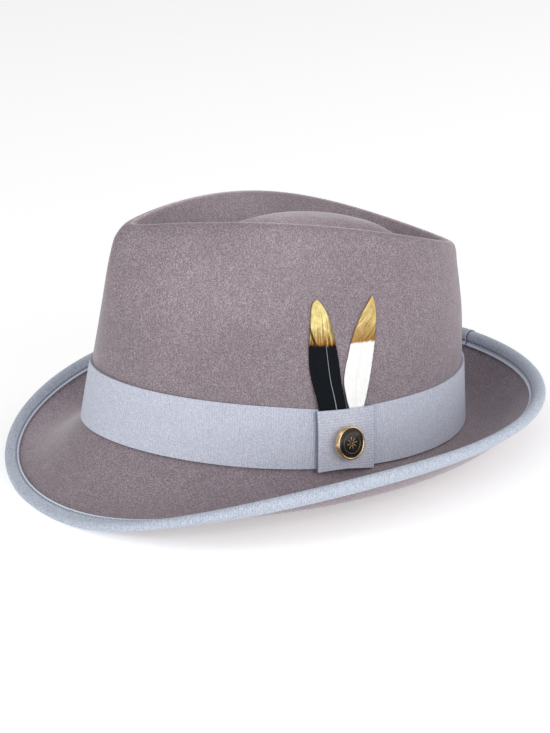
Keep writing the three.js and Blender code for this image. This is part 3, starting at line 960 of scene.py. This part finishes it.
# A turned shape, spun from its profile of radius and height
def turnedPiece(name, profile):
    bpy.ops.mesh.primitive_plane_add(size=1)
    piece = bpy.context.object
    piece.name = name
    mesh = piece.data
    mesh.clear_geometry()
    points = [(radius, 0, height) for radius, height in profile]
    edges = [(index, index + 1) for index in range(len(points) - 1)]
    mesh.from_pydata(points, edges, [])
    bpy.ops.object.mode_set(mode="EDIT")
    bpy.ops.mesh.select_all(action="SELECT")
    bpy.ops.mesh.spin(steps=button["sides"], angle=2 * math.pi, center=(0, 0, 0), axis=(0, 0, 1))
    bpy.ops.object.mode_set(mode="OBJECT")
    return piece


rimLook = {"name": "gilt_brass", "colour": "#f8dfb4", "shade": "#cc9f68", "gloss": (0.14, 0.32)}
rosetteLook = {"name": "aged_brass", "colour": "#c4a878", "shade": "#6e5a3c", "gloss": (0.3, 0.5)}
enamelLook = {"colour": "#101116", "shade": "#1c1b20"}
wornPatch = 2.2 * mm
enamelRipple = 3 * mm


# Gilt brass, cast and tumbled: warm and glossy, browner and duller in small patches, and more so where
# it is aged
def makeBrassMaterial(look):
    material, tree = newMaterial(look["name"])
    place = addNode(tree, "ShaderNodeTexCoord").outputs["Object"]
    wear = addNode(tree, "ShaderNodeTexNoise", {
        "Vector": place, "Scale": 1 / wornPatch, "Detail": 4.0, "Roughness": 0.65})
    toned = addNode(tree, "ShaderNodeMixRGB", {
        "Fac": wear.outputs["Fac"], "Color1": hexColour(look["colour"]), "Color2": hexColour(look["shade"])})
    rough = addNode(tree, "ShaderNodeMapRange", {
        "Value": wear.outputs["Fac"], "From Min": 0.3, "From Max": 0.7,
        "To Min": look["gloss"][0], "To Max": look["gloss"][1]})
    bump = addNode(tree, "ShaderNodeBump", {
        "Height": wear.outputs["Fac"], "Strength": 0.2, "Distance": 0.15 * mm})
    shader = addNode(tree, "ShaderNodeBsdfPrincipled", {
        "Base Color": toned.outputs["Color"], "Roughness": rough.outputs["Result"],
        "Normal": bump.outputs["Normal"], "Metallic": 1.0})
    finishMaterial(tree, shader)
    return material


# Black stoved enamel: deep and glossy, faintly uneven
def makeEnamelMaterial():
    material, tree = newMaterial("black_enamel")
    place = addNode(tree, "ShaderNodeTexCoord").outputs["Object"]
    flow = addNode(tree, "ShaderNodeTexNoise", {"Vector": place, "Scale": 1 / enamelRipple, "Detail": 2.0})
    toned = addNode(tree, "ShaderNodeMixRGB", {
        "Fac": flow.outputs["Fac"],
        "Color1": hexColour(enamelLook["colour"]), "Color2": hexColour(enamelLook["shade"])})
    bump = addNode(tree, "ShaderNodeBump", {
        "Height": flow.outputs["Fac"], "Strength": 0.12, "Distance": 0.3 * mm})
    shader = addNode(tree, "ShaderNodeBsdfPrincipled", {
        "Base Color": toned.outputs["Color"], "Normal": bump.outputs["Normal"],
        "Roughness": 0.16, "Coat Weight": 0.5, "Coat Roughness": 0.08})
    finishMaterial(tree, shader)
    return material


def arc(middle, radius, fromDegrees, toDegrees, steps=7):
    turns = np.radians(np.linspace(fromDegrees, toDegrees, steps))
    return [(middle[0] + radius * math.cos(turn), middle[1] + radius * math.sin(turn)) for turn in turns]


def makeButton():
    edge, recess, floor = button["edge"], button["recess"], button["floor"]
    flange = arc((button["radius"] - edge, edge + button["foot"]), edge, -90, 20)
    lip = arc((recess + button["lip"], button["height"] - edge), edge, 20, 165)
    rim = turnedPiece("button_bezel", [(0, button["foot"]), *flange, *lip, (recess, floor), (0, floor)])
    radius, top, bevel = button["faceRadius"], button["faceTop"], button["bevel"]
    face = turnedPiece("button_enamel", [
        (0, floor + button["gap"]), (radius, floor + button["gap"]),
        (radius, top - 2 * bevel), (radius - bevel, top - bevel),
        (radius * button["domeAt"], top - button["dome"]), (0, top),
    ])
    bpy.ops.mesh.primitive_torus_add(
        major_radius=button["ring"], minor_radius=button["wire"], major_segments=64, minor_segments=8,
        location=(0, 0, top - button["ringSink"]))
    parts = [bpy.context.object]
    for index in range(button["petals"]):
        turn = index / button["petals"] * 2 * math.pi
        at = Matrix.Rotation(turn, 3, "Z") @ Vector((button["petalAt"], 0, top))
        bpy.ops.mesh.primitive_uv_sphere_add(
            segments=16, ring_count=8, radius=1, rotation=(0, 0, turn), location=at)
        bpy.context.object.scale = button["petal"]
        parts.append(bpy.context.object)
    bpy.ops.mesh.primitive_uv_sphere_add(
        segments=16, ring_count=8, radius=button["bead"], location=(0, 0, top))
    parts.append(bpy.context.object)
    bpy.ops.object.select_all(action="DESELECT")
    for part in parts:
        part.select_set(True)
    bpy.context.view_layer.objects.active = parts[0]
    bpy.ops.object.transform_apply(location=True, rotation=True, scale=True)
    bpy.ops.object.join()
    rosette = bpy.context.object
    rosette.name = "button_rosette"
    place = buttonPlace()
    for piece in (rim, face, rosette):
        piece.data.transform(place)
    finishPiece(rim, makeBrassMaterial(rimLook), ["button_rim"], 40)
    finishPiece(face, makeEnamelMaterial(), ["button_face"], 30)
    finishPiece(rosette, makeBrassMaterial(rosetteLook), (), 60)


makeButton()


# Stage: a pale floor, a white room and soft lights
stage = {"floor": 40.0, "paper": "#f4f4f4", "room": 0.5, "glow": 0.36}


def makeStage():
    bpy.ops.mesh.primitive_plane_add(size=stage["floor"], location=(0, 0, 0))
    floor = bpy.context.object
    floor.name = "floor"
    material, tree = newMaterial("paper_floor")
    shader = addNode(tree, "ShaderNodeBsdfPrincipled", {
        "Base Color": hexColour(stage["paper"]), "Roughness": 0.9, "Specular IOR Level": 0.1,
        "Emission Color": hexColour("#ffffff"), "Emission Strength": stage["glow"]})
    finishMaterial(tree, shader)
    floor.data.materials.append(material)
    world = bpy.data.worlds.new("white_room")
    world.use_nodes = True
    bpy.context.scene.world = world
    backdrop = world.node_tree.nodes["Background"]
    backdrop.inputs["Color"].default_value = hexColour("#ffffff")
    backdrop.inputs["Strength"].default_value = stage["room"]
    bpy.context.scene.view_settings.view_transform = "Standard"


softLights = [
    {"name": "front_high", "place": (-0.5, -0.7, 1.6), "size": 1.0, "power": 3.2},
    {"name": "front_low", "place": (0.7, -1.2, 0.5), "size": 1.0, "power": 5.2},
    {"name": "side_low", "place": (1.39, 0.12, 0.5), "size": 1.0, "power": 6.0},
    {"name": "back_low", "place": (0.36, 1.35, 0.6), "size": 1.0, "power": 4.4},
]
lightAim = Vector((0, 0, 60)) * mm


def makeLights():
    for lamp in softLights:
        bpy.ops.object.light_add(type="AREA", location=lamp["place"])
        light = bpy.context.object
        light.name = lamp["name"]
        light.data.size = lamp["size"]
        light.data.energy = lamp["power"]
        aim = lightAim - Vector(lamp["place"])
        light.rotation_mode = "QUATERNION"
        light.rotation_quaternion = aim.to_track_quat("-Z", "Y")


makeStage()
makeLights()
print("stage and lights made")
